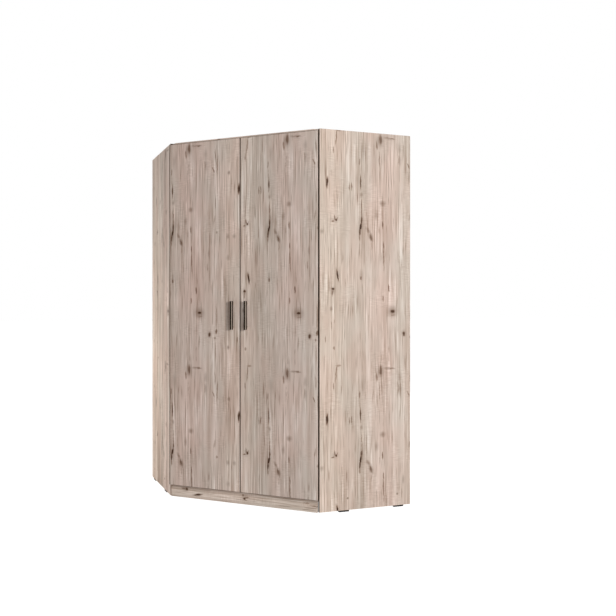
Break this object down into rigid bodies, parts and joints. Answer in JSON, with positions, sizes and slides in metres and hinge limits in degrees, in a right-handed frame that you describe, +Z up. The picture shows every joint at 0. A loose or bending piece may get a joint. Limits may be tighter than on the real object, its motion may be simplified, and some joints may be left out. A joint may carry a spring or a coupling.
{
  "type": "corner wardrobe",
  "caption": "Free-standing wardrobe for a room corner, with hinged doors across a diagonal front, pale oak print, hat shelf and hanging rail.",
  "frame": {"origin": "on the floor, below the middle of the whole wardrobe's box", "axes": "+Z up; the room's corner is at +X +Y, with walls behind at +X and at +Y; the doors face -X -Y"},
  "size_m": [1.1789, 1.1789, 1.99],
  "materials": {
    "oak_decor_board": "printed pale oak grain with knots, matt",
    "inner_decor_board": "plain pale linen print, matt",
    "hardboard": "pale printed front, raw brown back",
    "softwood": "raw planed softwood",
    "black_plastic": "matt black",
    "cap_plastic": "oak-coloured",
    "strip_plastic": "pale",
    "rail_chrome": "polished tube",
    "hinge_steel": "nickel-plated",
    "zinc_steel": "zinc-plated",
    "handle_metal": "dark brushed metal",
    "bumper_rubber": "clear soft dot"
  },
  "bodies": {
    "carcass": {"right_side_panel": "oak_decor_board", "left_side_panel": "oak_decor_board", "top_panel": "oak_decor_board", "bottom_panel": "inner_decor_board", "plinth_board": "oak_decor_board", "plinth_brackets": "zinc_steel", "rear_corner_post": "softwood", "rear_foot_block": "softwood", "rear_foot_glide": "black_plastic", "right_back_sheet_outer": "hardboard", "right_back_sheet_inner": "hardboard", "left_back_sheet_outer": "hardboard", "left_back_sheet_inner": "hardboard", "right_back_joint_strip": "strip_plastic", "left_back_joint_strip": "strip_plastic", "back_sheet_nails": "zinc_steel", "hat_shelf": "inner_decor_board", "shelf_pins": "hinge_steel", "hanging_rail": "rail_chrome", "rail_end_caps": "strip_plastic", "rail_hangers": "hinge_steel", "rail_hanger_screws": "zinc_steel", "floor_glides": "black_plastic", "bottom_screws": "zinc_steel", "cover_caps": "cap_plastic", "cam_bolts": "zinc_steel", "cam_locks": "zinc_steel", "wood_dowels": "softwood", "right_hinge_plates": "hinge_steel", "left_hinge_plates": "hinge_steel", "right_hinge_arms": "hinge_steel", "left_hinge_arms": "hinge_steel", "hinge_plate_screws": "zinc_steel", "hinge_arm_screws": "zinc_steel", "wall_brackets": "zinc_steel", "bracket_screws": "zinc_steel"},
    "right_door": {"right_door": "oak_decor_board", "right_hinge_cups": "hinge_steel", "right_hinge_pins": "hinge_steel", "right_cup_screws": "zinc_steel", "right_handle": "handle_metal", "right_handle_screws": "zinc_steel", "right_door_bumper": "bumper_rubber"},
    "left_door": {"left_door": "oak_decor_board", "left_hinge_cups": "hinge_steel", "left_hinge_pins": "hinge_steel", "left_cup_screws": "zinc_steel", "left_handle": "handle_metal", "left_handle_screws": "zinc_steel", "left_door_bumper": "bumper_rubber"}
  },
  "joints": [
    {"name": "right_door_hinge", "type": "hinge", "parent": "carcass", "child": "right_door", "pos_m": [0.04192, -0.57404, 1.027], "axis": [0, 0, 1], "range_deg": [0, 105]},
    {"name": "left_door_hinge", "type": "hinge", "parent": "carcass", "child": "left_door", "pos_m": [-0.57404, 0.04192, 1.027], "axis": [0, 0, -1], "range_deg": [0, 105]}
  ]
}
